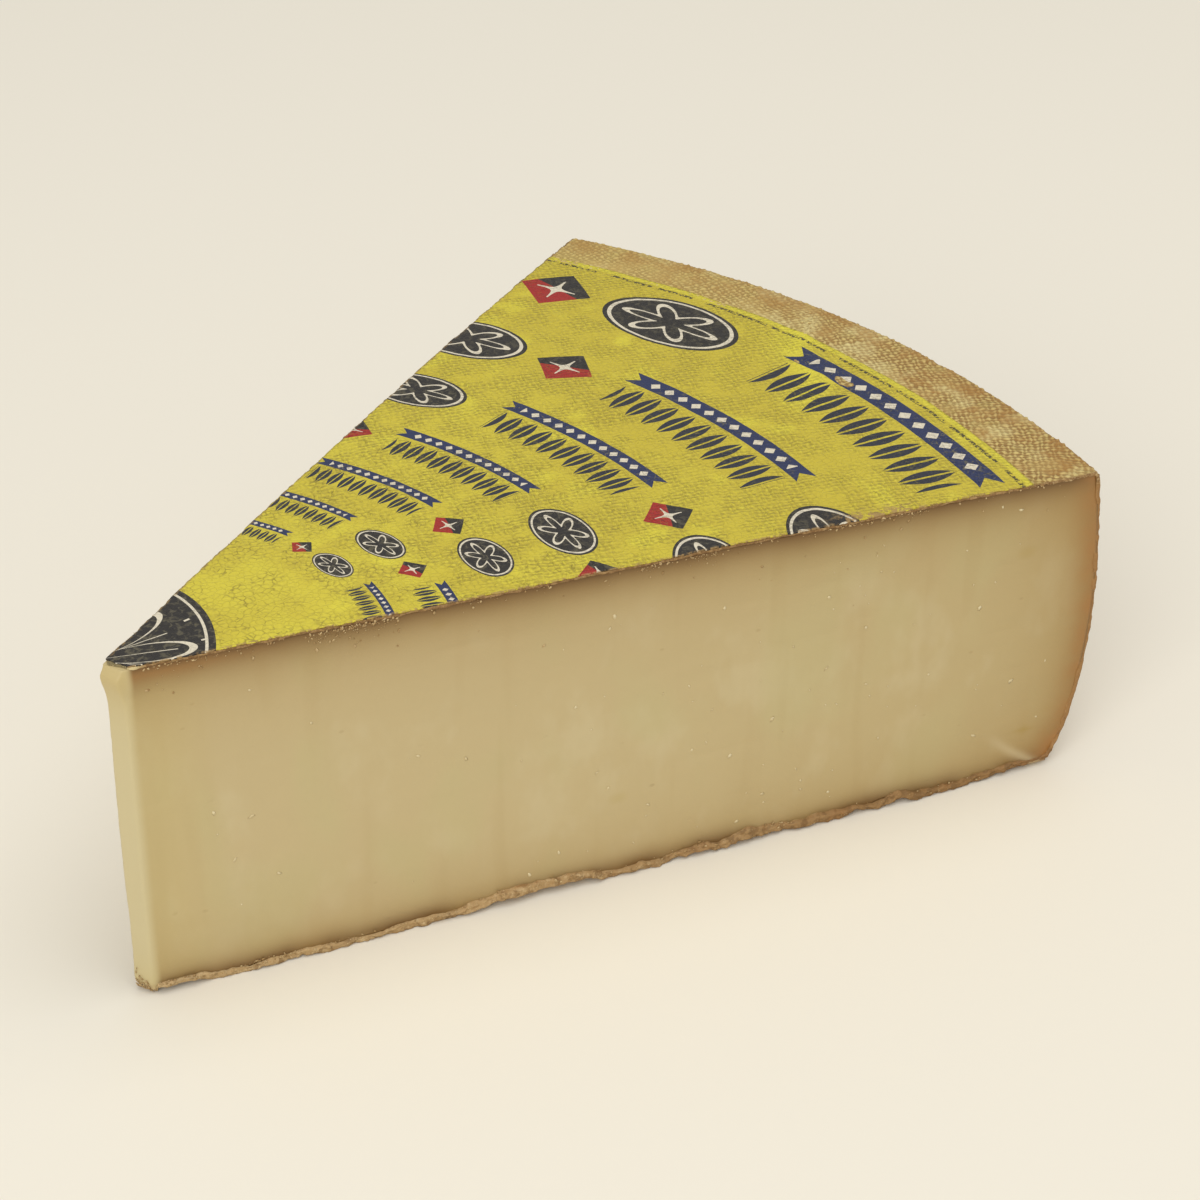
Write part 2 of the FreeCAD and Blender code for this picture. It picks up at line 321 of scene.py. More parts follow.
rind = {
    "topThickness": 0.6,
    "heelThickness": 1.6,
    "footThickness": 2.1,
    "tuckedIn": 3.0,  # how far its inner edges run on inside the paste
    "clothDepth": 0.27,
    "edgeColumns": [0.0, 0.4, 0.9, 1.6, 2.6, 4.2, 7.0, 11.0],
    "middleColumns": 8,
    "stripColumns": 420,
    "heelColumns": 250,
    "topStep": 0.7,
    "stripStep": 0.5,
    "heelStep": 0.95,
    "footStep": 0.5,
    "labelOverlap": 3.0,  # how far the fine strip reaches in under the label
    "tipRounding": 2.0,
    "inwardSoftening": 22.0,
    "deepest": 0.38,  # of the hollows in its skin, so that the paste stays covered
    "lipLift": 2.3,  # how far the underside's edge curls up at most
    "liftWidth": 6.0,
}

label = {
    "radius": 277.5,
    "centre": np.array([3.6, 5.8]),
    "thickness": 0.3,
    "fromTip": 0.9,
    "columns": [(10.0, 70.0, 70), (70.0, 150.0, 150), (150.0, 280.0, 270)],
    "step": 0.72,
    "curl": 0.35,
}


# Inward directions of the skin's half section, turned so gently that thick rind never folds.
def skinInward():
    along = np.gradient(skin, axis=0)
    inward = np.stack([along[:, 1], -along[:, 0]], axis=1)
    width = int(rind["inwardSoftening"] / (skinLengths[-1] / len(skin)))
    kernel = np.hanning(width + 2)[1:-1]
    smooth = np.stack([np.convolve(inward[:, k], kernel, "same") for k in range(2)], axis=1)
    return smooth / np.linalg.norm(smooth, axis=1, keepdims=True)


# How far the rind's torn edge stands out of a cut, at a length along the skin and at shares
# of its depth from the outside in.
def tornReach(length, depth, seed):
    place = np.stack([np.full_like(depth, length), depth * 1.6 + seed * 9.0], axis=-1)
    full = np.sin(math.pi * (0.12 + 0.80 * depth))
    return 0.28 * hills(place, 1.4, seed, 2) * full + 0.30 * hills(place, 5.0, seed + 1, 2) - 0.05


# 0 at the tip and at the heel and 1 halfway between.
def halfway(radius):
    share = min(radius / wheel["rimRadius"], 1.0)
    return 4 * share * (1 - share)


# The same for the underside's lip, a rough band that runs in long waves and stands out most
# halfway along the cut.
def lipReach(length, depth, radius, seed):
    along = np.array([length, seed * 9.0])
    place = np.stack([np.full_like(depth, length), depth * 4.0 + seed * 9.0], axis=-1)
    belly = 0.30 + 0.80 * halfway(radius)
    waves = hills(along, 24.0, seed + 2, 2)
    lean = hills(along, 11.0, seed + 3, 2)
    fold = stepUp(hills(along, 6.0, seed + 4, 2), 0.25, 0.55)
    body = 1 - 0.35 * np.clip(1 - depth / 0.22, 0, 1) ** 2 - 0.45 * np.clip(depth / 0.2 - 4, 0, 1) ** 2
    rough = hills(place, 1.3, seed + 5, 2) * 0.60 + hills(place, 3.4, seed + 6) * 0.45
    reach = (belly + 0.9 * waves) * body + lean * (depth - 0.5) * 1.6 - fold * 0.8
    return np.maximum(reach + rough, rough * 0.5)


def lipThickness(radius):
    return rind["footThickness"] * (0.75 + 0.45 * halfway(radius))


# How far the underside's edge curls up, at lengths along the skin.
def lipLift(length, seed):
    place = np.stack(np.broadcast_arrays(length, seed * 5.0), axis=-1)
    wave = stepUp(hills(place, 15.0, seed + 7, 2), -0.15, 0.65)
    return rind["lipLift"] * wave * stepUp(length, footLength + 8.0, footLength + 40.0)


# One ring round the rind's sheet: its skin from the near cut to the far one, down the far
# cut's torn edge, and up the near cut's.
def rindRow(length, inward, zone):
    radius, height = atLengths(skin, [length])[0]
    direction = np.array([np.interp(length, skinLengths, inward[:, k]) for k in range(2)])
    direction /= np.linalg.norm(direction)
    under = stepUp(length, footLength - 9.0, footLength - 1.0)
    heel = stepUp(length, rimLength - 6.0, rimLength + 6.0) * (1 - under)
    thickness = rind["topThickness"] * (1 - heel - under)
    thickness += rind["heelThickness"] * heel + lipThickness(radius) * under
    width = radius * 2 * wheel["halfAngle"]
    if zone in ("strip", "heel"):
        shares = np.linspace(0, 1, rind[zone + "Columns"])
    else:
        edge = np.array(rind["edgeColumns"]) * min(1.0, width / 30.0) / width
        middle = np.linspace(edge[-1], 1 - edge[-1], rind["middleColumns"])[1:-1]
        shares = np.concatenate([edge, middle, 1 - edge[::-1]])
    fromTip = max(radius - wheel["tipNear"], 0.0)
    rounding = rind["tipRounding"]
    inset = rounding - math.sqrt(rounding**2 - max(rounding - fromTip, 0.0) ** 2)
    reach, angle = planPoint(radius, shares, inset)
    cosAngle, sinAngle = np.cos(angle), np.sin(angle)
    surface = np.column_stack([reach * cosAngle, reach * sinAngle, np.full_like(angle, height)])
    level, upright = direction
    outward = -np.column_stack([level * cosAngle, level * sinAngle, np.full_like(angle, upright)])
    u, v = clothPlace(reach, height, angle, np.minimum, np.maximum)
    onTop = 1 - stepUp(length, rimLength - 1.0, rimLength + 2.0)
    bare = stepUp(length, labelLength, labelLength + 2.0) * (1 - under)
    relief = faceRelief(surface[:, :2]) * onTop
    if zone == "strip":
        strength = rind["clothDepth"] * (0.7 + 0.6 * hills(surface, 7.0, 9))
        relief += bare * strength * wovenRelief(u, v, np.sin)
    relief += bare * (hills(surface, 5.0, 6, 2) * 0.25 + hills(surface, 16.0, 7) * 0.30 + 0.15)
    relief = np.maximum(relief, -rind["deepest"])
    # Both edges are worn away a little, and underneath they curl up.
    tornOff = 0.10 + 0.40 * hills(surface, 1.6, 10, 2)
    for gap, seed in ((shares * width, nearSeed), ((1 - shares) * width, farSeed)):
        relief -= np.exp(-gap / 1.1) * np.maximum(tornOff, 0) * (1 - under)
        relief -= np.exp(-((gap / rind["liftWidth"]) ** 2)) * lipLift(length, seed) * under
    surface = surface + outward * relief[:, None]
    depth = np.linspace(0, 1, 11 if zone == "foot" else 6)
    bands = []
    for end, cutOutward, seed in ((0, nearOutward, nearSeed), (-1, farOutward, farSeed)):
        along = np.array([length, seed * 3.0])
        uneven = (0.14 + 0.36 * under) * hills(along, 9.0, seed + 8, 2)
        uneven += 0.24 * hills(along, 1.8, seed + 9, 2)
        uneven += 0.35 * under * hills(along, 28.0, seed + 10, 2)
        torn = tornReach(length, depth, seed)
        toward = torn + (lipReach(length, depth, radius, seed) - torn) * under
        base, inwards = surface[end].copy(), -outward[end] * thickness * (1 + uneven)
        surface[end] = base + cutOutward * toward[0]
        band = base + inwards * depth[1:, None] + cutOutward * toward[1:, None]
        tucked = base + inwards - cutOutward * min(rind["tuckedIn"], width / 5)
        bands.append(np.concatenate([band, tucked[None]]))
    near, far = bands
    ring = np.concatenate([surface, far, near[::-1]])
    # The skin takes up the first half of the way round, and the edges share the rest.
    return ring, list(shares * 0.5) + list(0.5 + 0.5 * np.linspace(0, 1, len(far) + len(near) + 2)[1:-1])


# The rind lies round the paste like a bent sheet, from the tip's upper edge over the heel to
# the tip's lower edge. Its rows follow one another along that way.
def makeRind():
    inward = skinInward()
    tip = wheel["tipNear"]
    zones = (
        ("top", tip, labelLength - rind["labelOverlap"], rind["topStep"]),
        ("strip", labelLength - rind["labelOverlap"], rimLength + 1.5, rind["stripStep"]),
        ("heel", rimLength + 1.5, footLength - 6.0, rind["heelStep"]),
        ("foot", footLength - 6.0, skinLengths[-1] - tip - 0.3, rind["footStep"]),
    )
    rings = []
    for zone, start, end, step in zones:
        for length in np.arange(start, end - step / 3, step):
            rings.append(rindRow(length, inward, zone))

    def ends(first, last):
        return [tuple(reversed(first[0])), tuple(last[0])]

    return loftPiece("rind", rings, ends, solid="cheese")


# Lengths along the skin at which the rim, the bare strip and the underside begin.
upperHalf = len(skin) // 2
rimLength = float(np.interp(wheel["rimRadius"], skin[:upperHalf, 0], skinLengths[:upperHalf]))
labelLength = label["radius"] + 1.0
footLength = float(skinLengths[np.argmax(skin[:, 1] < wheel["footHeight"] + 0.8)])

paste = {
    "shrink": 0.4,
    "step": 1.0,
    "tipStep": 0.45,
    "rowSteps": ((6.0, 0.5), (82.0, 1.1), (106.0, 0.7)),  # up to a height, and the step there
    "tipStretch": (6.0, 14.0),  # the finely stepped length before and after the tip's corner
    "pivot": 120.0,  # beyond this radius the outline is fitted to the heel at each height
    "heelHeights": (2.3, 101.0),
    "cornerSoftening": 2.8,
    "underRind": 0.5,  # how deep under the rind's skin its hidden faces lie
    "overFoot": 1.3,
    "tipOut": 1.2,  # how far the tip's paste stands out of its flat face
    "tipFlare": 1.7,
    "footRounding": 1.2,
    "flareDepth": 3.2,  # how far under the top the tip's paste bulges most
}


# The cuts seen from above, from the heel along the near cut, round the tip and back along
# the far one: points, outward directions, how far along each lies, and whether it is on the
# tip (1) or not.
def pasteOutline():
    rim, half = wheel["rimRadius"], wheel["halfAngle"]
    near = np.array([math.cos(half), -math.sin(half)])
    far = near * [1, -1]
    farPlaces = np.linspace(wheel["tipFar"], rim, 120)[:, None]
    farLine = far * farPlaces + farOutward[:2] * bowOffset(farPlaces)
    line = np.concatenate([[near * rim, near * wheel["tipNear"]], farLine])
    line = softened(line, step=0.15, width=paste["cornerSoftening"])
    total = lengthsAlong(line)[-1]
    corner = rim - wheel["tipNear"]
    tipStart, tipEnd = corner - paste["tipStretch"][0], corner + paste["tipStretch"][1]
    sideCount = int(tipStart / paste["step"])
    tipCount = int((tipEnd - tipStart) / paste["tipStep"])
    places = np.concatenate(
        [
            np.linspace(0, tipStart, sideCount + 1),
            np.linspace(tipStart, tipEnd, tipCount + 1)[1:-1],
            np.linspace(tipEnd, total, sideCount + 1),
        ]
    )
    points = atLengths(line, places)
    way = np.stack([np.gradient(points[:, k], places) for k in range(2)], axis=1)
    way /= np.linalg.norm(way, axis=1, keepdims=True)
    outward = np.stack([-way[:, 1], way[:, 0]], axis=1)
    onTip = np.clip((-outward[:, 0] - 0.45) / 0.45, 0, 1)
    return points, outward, places, onTip, sideCount + 1


# The dried paste's unevenness, with faint lines from the wire that cut it.
def pasteRelief(place, height, onTip=0.0):
    spot = np.stack([place, height + 0 * place], axis=1)
    soft = hills(spot, 42.0, 51, 2) * 0.38 + hills(spot, 9.0, 52, 2) * 0.08
    wire = hills(spot * [0.06, 1.0], 2.6, 53, 2) * 0.035 + hills(spot * [1.0, 0.04], 5.0, 54) * 0.02
    gouge = np.clip(hills(spot * [0.25, 1.0], 7.0, 55, 2) - 0.42, 0, 1) * -0.5
    return soft + (wire + gouge) * (1 - onTip * 0.7) - paste["shrink"]


# How far the foot of the tip's paste is rounded off, in flares.
def footRounding(height):
    return paste["footRounding"] * np.exp(-height / 1.1)


def makePaste():
    outline, outward, places, onTip, sideCount = pasteOutline()
    count = len(outline)
    radius = np.hypot(outline[:, 0], outline[:, 1])
    underLength = skinLengths[-1] - radius
    lift = np.where(outline[:, 1] < 0, lipLift(underLength, nearSeed), lipLift(underLength, farSeed))
    low = (paste["overFoot"] + 0.8 * lift) * (1 - onTip) + 0.15 * onTip
    nearTip = stepUp(-outline[:, 0], -16.0, -8.5)
    highest = topHeight(radius) - paste["underRind"]
    levels = [0.0]
    for upTo, step in paste["rowSteps"]:
        levels += list(np.linspace(levels[-1], upTo, int((upTo - levels[-1]) / step) + 1)[1:])
    rings = []
    pivot = paste["pivot"]
    for share in np.array(levels) / levels[-1]:
        height = low + (highest - low) * share
        reach = heelRadius(np.clip(height, *paste["heelHeights"])) - paste["underRind"] * 1.2
        stretched = pivot + (radius - pivot) * (reach - pivot) / (wheel["rimRadius"] - pivot)
        ring = outline * (np.where(radius > pivot, stretched, radius) / radius)[:, None]
        relief = pasteRelief(places, height, onTip)
        relief = relief + paste["shrink"] * 0.8 * stepUp(radius, 282.0, 299.0)
        spot = np.column_stack([places, height])
        # The tip's paste bulges near its top and a little by its foot, which is rounded off.
        below = highest - height - paste["flareDepth"]
        flare = np.exp(-((below / np.where(below > 0, 5.0, 1.9)) ** 2)) * (1 + 0.25 * hills(spot, 5.0, 57))
        flare = flare + 0.20 * np.exp(-(((height - 5.0) / 3.0) ** 2)) - footRounding(height)
        rough = 0.25 * hills(spot, 1.3, 58, 2) * np.exp(-height / 2.6)
        flare = flare + 0.05 * hills(spot, 2.4, 56, 2) + rough
        ring = ring + outward * relief[:, None]
        ring[:, 0] -= nearTip * (paste["tipOut"] + paste["tipFlare"] * flare)
        rings.append((np.column_stack([ring, height]), None))

    # Each cap joins the near side to the far one across the hidden top or bottom.
    def caps(first, last):
        faces = []
        for numbers, flip in ((first[0], False), (last[0], True)):
            for i in range(sideCount - 1):
                face = (numbers[i], numbers[i + 1], numbers[count - 2 - i], numbers[count - 1 - i])
                faces.append(face[::-1] if flip else face)
            tip = tuple(numbers[sideCount - 1 : count - sideCount + 1])
            faces.append(tip[::-1] if flip else tip)
        return faces

    return loftPiece("paste", rings, caps, solid="cheese")


# How far from the wheel's axis the label ends at an angle.
def labelEdge(angle):
    centre = label["centre"]
    along = centre[0] * np.cos(angle) + centre[1] * np.sin(angle)
    return along + np.sqrt(along**2 - centre @ centre + label["radius"] ** 2)


# How far its ragged edge stays behind a cut.
def labelInset(place, seed):
    return max(0.15 + 0.35 * hills(place, 1.7, seed, 2) + 0.20 * hills(place, 8.0, seed + 1), 0)


# The sheet of paper lies on the shared face relief. Its rows follow from the tip outwards.
def makeLabel():
    rings = []
    start, end = wheel["tipNear"] + label["fromTip"], label["radius"] + 2.5
    for first, last, columns in label["columns"]:
        for nominal in np.arange(max(first, start), last - label["step"] / 2, label["step"]):
            shares = np.linspace(0, 1, columns)
            reach, angle = planPoint(np.full(columns, nominal), shares)
            # Both cut edges are a little ragged, and so is the one at the tip.
            place = np.array([nominal, 0.0])
            near, far = labelInset(place, 61), labelInset(place + 50.0, 63)
            angle = angle + (near * (1 - shares) - far * shares) / max(nominal, 11.0)
            edge = labelEdge(angle)
            reach = reach + (edge - end) * (nominal - start) / (end - start)
            jagged = hills(np.column_stack([angle * 14.0, angle * 0]), 1.6, 68, 2) * 0.35
            reach = reach + jagged * math.exp(-(nominal - start) / 3.0)
            plan = np.stack([reach * np.cos(angle), reach * np.sin(angle)], axis=1)
            height = topHeight(reach) + faceRelief(plan)
            lift = np.clip(hills(plan, 22.0, 65) + 0.2, 0, 1)
            lift = label["curl"] * np.exp((reach - edge) / 3.0) * lift
            crinkle = hills(plan, 2.4, 66, 2) * 0.07 + hills(plan, 6.0, 67, 2) * 0.06
            top = np.column_stack([plan, height + label["thickness"] + crinkle + lift])
            atEnd = nominal < start + label["step"] / 2 or nominal > end - label["step"]
            middle = columns if atEnd else max(3, columns // 24)
            picks = np.linspace(columns - 1, 0, middle).round().astype(int)
            bottom = np.column_stack([plan[picks], height[picks] + lift[picks] - 0.05])
            places = list(shares * 0.5) + list(0.5 + 0.5 * (np.arange(middle) + 1) / (middle + 1))
            rings.append((np.concatenate([top, bottom]), places))

    # The sheet's two ends are strips of quads between its upper and lower edge.
    def ends(firstRing, lastRing):
        strips = []
        for numbers in (firstRing[0], lastRing[0]):
            columns = len(numbers) // 2
            for i in range(columns - 1):
                strips.append((numbers[i], numbers[i + 1], numbers[-2 - i], numbers[-1 - i]))
        return strips

    return loftPiece("paperLabel", rings, ends, solid="label")


lumps = {
    "seed": 17,
    "crystals": 95,  # on each cut
    "crystalSize": (0.24, 0.66),
    "crumbSize": (0.12, 0.42),
    # along each cut: from and to in radius, how many, and how far below the top edge
    "topCrumbs": (
        (14.0, 296.0, 60, 1.2),
        (14.0, 44.0, 50, 5.0),
        (58.0, 84.0, 150, 4.6),
        (152.0, 180.0, 60, 2.4),
        (214.0, 244.0, 50, 1.6),
        (90.0, 292.0, 50, 10.0),
    ),
    "lipCrumbs": 300,
    "lipRange": (11.0, 260.0),
    "tipCrumbs": 130,
}


# Small rough lumps in one mesh, each with its middle and the way it faces. Their half sizes
# are drawn from a range, with more small ones the higher the power.
def makeLumps(name, placed, sizeRange, power, flatness, dice):
    middles, facing = (np.concatenate(parts) for parts in zip(*placed))
    low, high = sizeRange
    sizes = low + (high - low) * dice.uniform(0, 1, len(middles)) ** power
    model = bmesh.new()
    bmesh.ops.create_icosphere(model, subdivisions=1, radius=1.0)
    corners = np.array([corner.co for corner in model.verts])
    sides = np.array([[corner.index for corner in face.verts] for face in model.faces])
    model.free()
    count = len(middles)
    spin = dice.uniform(0, 2 * math.pi, count)
    upright = np.array([0.0, 0.0, 1.0]) + 0 * facing
    upright[np.abs(facing[:, 2]) > 0.9] = [1.0, 0.0, 0.0]
    first = np.cross(facing, upright)
    first /= np.linalg.norm(first, axis=1, keepdims=True)
    second = np.cross(facing, first)
    turned = first * np.cos(spin)[:, None] + second * np.sin(spin)[:, None]
    second = np.cross(facing, turned)
    rough = corners * dice.uniform(0.55, 1.15, (count, len(corners), 1)) * sizes[:, None, None]
    rough[:, :, 0] *= dice.uniform(0.8, 2.3, (count, 1))
    axes = np.stack([turned, second, facing * flatness], axis=1)
    points = (rough @ axes + middles[:, None]).reshape(-1, 3)
    faces = (sides + np.arange(count)[:, None, None] * len(corners)).reshape(-1, 3).tolist()
    print(name, "made,", count, "lumps")
    return makePiece(name, points, faces)


# Points on a cut, and the way it faces, from the distance to the wheel's axis, the height
# and how far out of the cut they stand.
def onCut(side, radius, height, out):
    half = wheel["halfAngle"]
    along = np.array([math.cos(half), side * math.sin(half), 0.0])
    outward = nearOutward if side < 0 else farOutward
    bow = bowOffset(radius) if side > 0 else 0.0
    points = along * radius[:, None] + outward * (out + bow)[:, None]
    points[:, 2] = height
    return points, np.tile(outward, (len(radius), 1))


# Where a spot of a cut lies along the paste's outline.
def outlinePlace(side, radius):
    beside = wheel["rimRadius"] - radius
    length = 2 * wheel["rimRadius"] - wheel["tipNear"] - wheel["tipFar"] + 7.0
    return beside if side < 0 else length - beside


# Pale crystals lie half sunk in both cuts, thinly near the top and thicker below.
def makeCrystals():
    dice = np.random.default_rng(lumps["seed"])
    placed = []
    for side in (-1, 1):
        radius = wheel["rimRadius"] * np.sqrt(dice.uniform(0.004, 0.93, lumps["crystals"]))
        height = 8.0 + 90.0 * dice.uniform(0, 1, lumps["crystals"]) ** 1.2
        out = pasteRelief(outlinePlace(side, radius), height) + 0.04
        placed.append(onCut(side, radius, height, out))
    return makeLumps("crystals", placed, lumps["crystalSize"], 1.7, 0.5, dice)


# Crumbs cling under the top edge, along the lip and about the tip's foot.
def makeCrumbs():
    dice = np.random.default_rng(lumps["seed"] + 1)
    placed = []
    for side, seed in ((-1, nearSeed), (1, farSeed)):
        for start, end, count, below in lumps["topCrumbs"]:
            radius = dice.uniform(start, end, count)
            down = 0.5 + below * dice.exponential(0.45, count)
            height = topHeight(radius) - down
            out = pasteRelief(outlinePlace(side, radius), height) + 0.1
            out = np.where(down < 1.4, 0.35, out)
            placed.append(onCut(side, radius, height, out))
        start, reach = lumps["lipRange"]
        radius = start + reach * dice.uniform(0, 1, lumps["lipCrumbs"]) ** 1.5
        depth = np.minimum(dice.uniform(0.45, 1.25, lumps["lipCrumbs"]), 1.15)
        out = np.zeros_like(radius)
        height = np.zeros_like(radius)
        for i, spot in enumerate(radius):
            length = skinLengths[-1] - spot
            out[i] = lipReach(length, np.array([min(depth[i], 0.97)]), spot, seed)[0]
            height[i] = lipLift(length, seed) + lipThickness(spot) * depth[i]
        out = np.where(depth > 1.0, out * 0.35, out)
        placed.append(onCut(side, radius, height, out))
    height = 0.4 + dice.exponential(1.5, lumps["tipCrumbs"])
    out = paste["tipOut"] - paste["tipFlare"] * footRounding(height)
    reach, angle = planPoint(wheel["tipNear"] - out, dice.uniform(0.1, 0.9, len(height)))
    points = np.column_stack([reach * np.cos(angle), reach * np.sin(angle), height])
    placed.append((points, np.tile([-1.0, 0.0, 0.0], (len(height), 1))))
    return makeLumps("crumbs", placed, lumps["crumbSize"], 2.0, 0.6, dice)


rindPiece = makeRind()
pastePiece = makePaste()
labelPiece = makeLabel()
crystalPiece = makeCrystals()
crumbPiece = makeCrumbs()


# A function of wires, or an operator of theirs, as one Math node.
def asMath(operation, reflected=False):
    return lambda wire, *others: wire.math(operation, *others, reflected=reflected)


# A socket of a node tree that takes Python's arithmetic, each sum adding its Math node.
class Wire:
    def __init__(self, tree, socket):
        self.tree, self.socket = tree, socket

    # The reflected form puts this wire last.
    def math(self, operation, *others, clamp=False, reflected=False):
        node = self.tree.nodes.new("ShaderNodeMath")
        node.operation, node.use_clamp = operation, clamp
        for slot, value in zip(node.inputs, (*others, self) if reflected else (self, *others)):
            put(self.tree, slot, value)
        return Wire(self.tree, node.outputs[0])

    __add__, __radd__ = asMath("ADD"), asMath("ADD", reflected=True)
    __sub__, __rsub__ = asMath("SUBTRACT"), asMath("SUBTRACT", reflected=True)
    __mul__, __rmul__ = asMath("MULTIPLY"), asMath("MULTIPLY", reflected=True)
    __truediv__, __rtruediv__ = asMath("DIVIDE"), asMath("DIVIDE", reflected=True)
    __pow__, __rpow__ = asMath("POWER"), asMath("POWER", reflected=True)
    __lt__, __gt__, __abs__ = asMath("LESS_THAN"), asMath("GREATER_THAN"), asMath("ABSOLUTE")

    def __neg__(self):
        return self * -1.0

    # 0 below low, 1 above high and smooth between. High may be the lower of the two.
    def between(self, low, high):
        share = ((self - low) / (high - low)).math("ADD", 0.0, clamp=True)
        return share * share * (3 - 2 * share)


def put(tree, slot, value):
    if isinstance(value, Wire):
        tree.links.new(value.socket, slot)
    elif hasattr(slot.default_value, "__len__") and not hasattr(value, "__len__"):
        slot.default_value = [value] * len(slot.default_value)
    else:
        slot.default_value = value


sine, cosine = asMath("SINE"), asMath("COSINE")
lesser, greater = asMath("MINIMUM"), asMath("MAXIMUM")


# 1 at nothing, fading out over a reach.
def fading(distance, reach, power=1.0):
    return (-(greater(distance, 0.0) / reach) ** power).math("EXPONENT")


def either(first, second):
    return 1 - (1 - first) * (1 - second)


# A colour as written on screen, from 0 to 255 a channel, in the linear light of the shaders.
def colour(red, green, blue):
    def linear(channel):
        share = channel / 255
        return share / 12.92 if share <= 0.04045 else ((share + 0.055) / 1.055) ** 2.4

    return (linear(red), linear(green), linear(blue), 1.0)


# A material with one Principled shader, a look of named colours as written on screen, and
# short ways to add nodes.
class Finish:
    def __init__(self, name, roughness, specular, look=None):
        self.material = bpy.data.materials.new(name)
        self.material.use_nodes = True
        self.tree = self.material.node_tree
        self.look = {part: colour(*screen) for part, screen in (look or {}).items()}
        self.base = None  # the colour so far, from the layers
        self.shader = self.tree.nodes["Principled BSDF"]
        self.shader.inputs["Roughness"].default_value = roughness
        self.shader.inputs["Specular IOR Level"].default_value = specular

    # Any node: its settings first, then what its sockets hold, by their numbers or names.
    def node(self, kind, settings, sockets):
        made = self.tree.nodes.new("ShaderNode" + kind)
        for name, value in settings.items():
            setattr(made, name, value)
        for key, value in sockets.items():
            put(self.tree, made.inputs[key], value)
        return made

    def wire(self, node, output=0):
        return Wire(self.tree, node.outputs[output])

    def vectorMath(self, operation, first, second, key=1):
        return self.wire(self.node("VectorMath", {"operation": operation}, {0: first, key: second}))

    # Where a point lies, in millimetres from the wheel's centre, and its three parts.
    def place(self):
        place = self.wire(self.node("TexCoord", {}, {}), "Object")
        place = self.vectorMath("SCALE", place, 1 / mm, "Scale")
        place = self.vectorMath("SUBTRACT", place, tuple(frameShift))
        parts = self.node("SeparateXYZ", {}, {0: place})
        return place, [self.wire(parts, k) for k in range(3)]

    # A place stretched differently along its axes.
    def stretched(self, place, *shares):
        return self.vectorMath("MULTIPLY", place, shares)

    def vector(self, x, y, z):
        return self.wire(self.node("CombineXYZ", {}, {"X": x, "Y": y, "Z": z}))

    # Noise from 0 to 1 with features about a size apart, in millimetres.
    def noise(self, place, size, detail=2.0, rough=0.5, twist=0.0):
        sockets = {"Vector": place, "Scale": 1 / size, "Detail": detail, "Roughness": rough}
        return self.wire(self.node("TexNoise", {}, {**sockets, "Distortion": twist}))

    def cells(self, place, size, feature="F1", randomness=1.0):
        sockets = {"Vector": place, "Scale": 1 / size, "Randomness": randomness}
        return self.wire(self.node("TexVoronoi", {"feature": feature}, sockets))

    # The second colour over the first, as far as the factor says. A colour is a socket or a
    # name in the look.
    def mix(self, factor, first, second):
        first, second = (self.look[part] if isinstance(part, str) else part for part in (first, second))
        settings = {"data_type": "RGBA", "clamp_factor": True}
        return self.wire(self.node("Mix", settings, {0: factor, 6: first, 7: second}), 2)

    # One more colour over the base so far.
    def lay(self, factor, layer):
        self.base = self.mix(factor, self.base, layer)

    # The material, with what its shader's sockets take.
    def finished(self, roughness, height, distance):
        bump = self.node("Bump", {}, {"Strength": 1.0, "Distance": distance * mm, "Height": height})
        taken = {"Base Color": self.base, "Roughness": roughness, "Normal": self.wire(bump)}
        for name, value in taken.items():
            put(self.tree, self.shader.inputs[name], value)
        return self.material


def polar(x, y):
    return (x * x + y * y).math("SQRT"), y.math("ARCTAN2", x)


# How far a point lies from the near cut and from the far one.
def cutGaps(x, y, radius):
    half = wheel["halfAngle"]
    near = y * math.cos(half) + x * math.sin(half)
    middle = (wheel["bowLength"] + wheel["tipFar"]) / 2
    reach = (wheel["bowLength"] - wheel["tipFar"]) / 2
    bow = wheel["farBow"] * (1 - ((radius - middle) / reach) ** 2)
    return near, x * math.sin(half) - y * math.cos(half) + bow


pasteLook = {
    "middle": (197, 178, 133),
    "right": (192, 172, 124),
    "cloud": (206, 191, 150),
    "green": (194, 181, 132),
    # ripe and deep: the paste's browning under the rind; the dark bands also carry painted shade of the
    # rind's edges and the lip
    "ripe": (164, 132, 76),
    "deep": (106, 74, 38),
    "orange": (166, 118, 64),
    "byTip": (194, 174, 112),
    "tip": (207, 193, 150),
    "tipTop": (196, 174, 118),
    "olive": (176, 152, 78),
    "pit": (164, 140, 96),
    "smear": (198, 178, 136),
    "crumbly": (168, 137, 92),
    "crumblyPale": (194, 166, 118),
}


